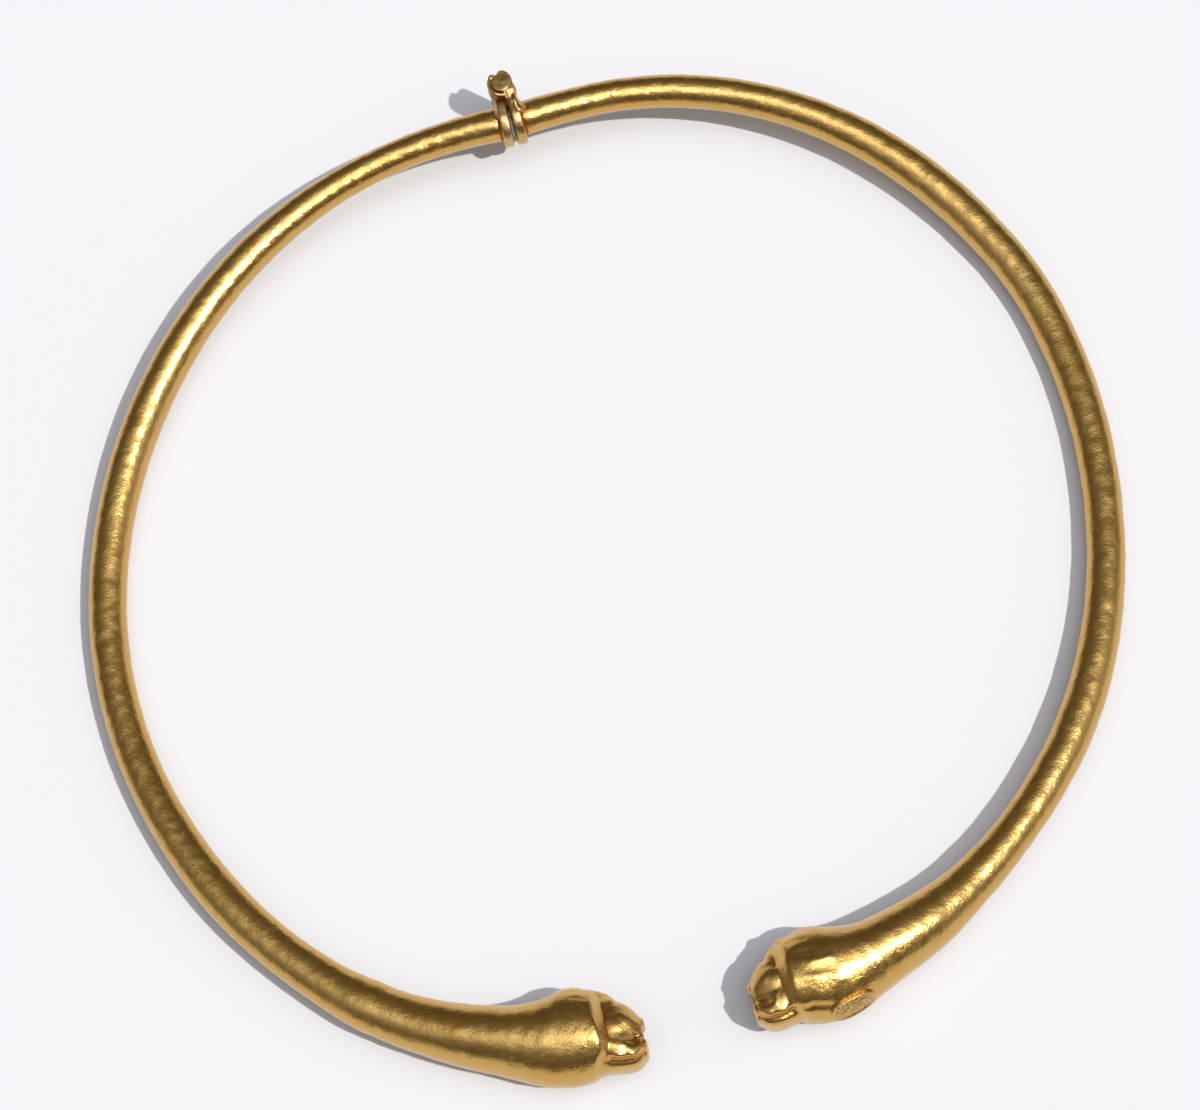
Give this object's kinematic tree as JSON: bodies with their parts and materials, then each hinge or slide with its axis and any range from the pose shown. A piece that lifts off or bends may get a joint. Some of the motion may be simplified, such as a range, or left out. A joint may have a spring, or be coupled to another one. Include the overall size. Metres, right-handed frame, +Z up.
{
  "type": "hinged neck ring",
  "caption": "Hinged gold neck ring lying flat: hammered round-section arms swelling into lion heads that face each other across the front gap, plate-and-knuckle hinge at the back.",
  "frame": {"origin": "centre of the bounding box on the floor the ring lies on", "axes": "+Z up through the neck opening, +Y towards the hinge at the back, the gap between the heads at -Y"},
  "size_m": [0.1396, 0.1394, 0.0138],
  "materials": {
    "gold_arm": "polished, hand-hammered",
    "gold_hinge": "worn polish with file marks",
    "gold_plaque": "stippled"
  },
  "bodies": {
    "left_half": {"left_arm": "gold_arm", "left_hinge_leaf": "gold_hinge", "hinge_pin": "gold_hinge"},
    "right_half": {"right_arm": "gold_arm", "right_hinge_leaf": "gold_hinge", "stamp_plaque": "gold_plaque"}
  },
  "joints": [
    {"name": "back_hinge", "type": "hinge", "parent": "left_half", "child": "right_half", "pos_m": [0.00077, 0.06777, 0.0094], "axis": [0, 0, 1], "range_deg": [-3.5, 90]}
  ]
}
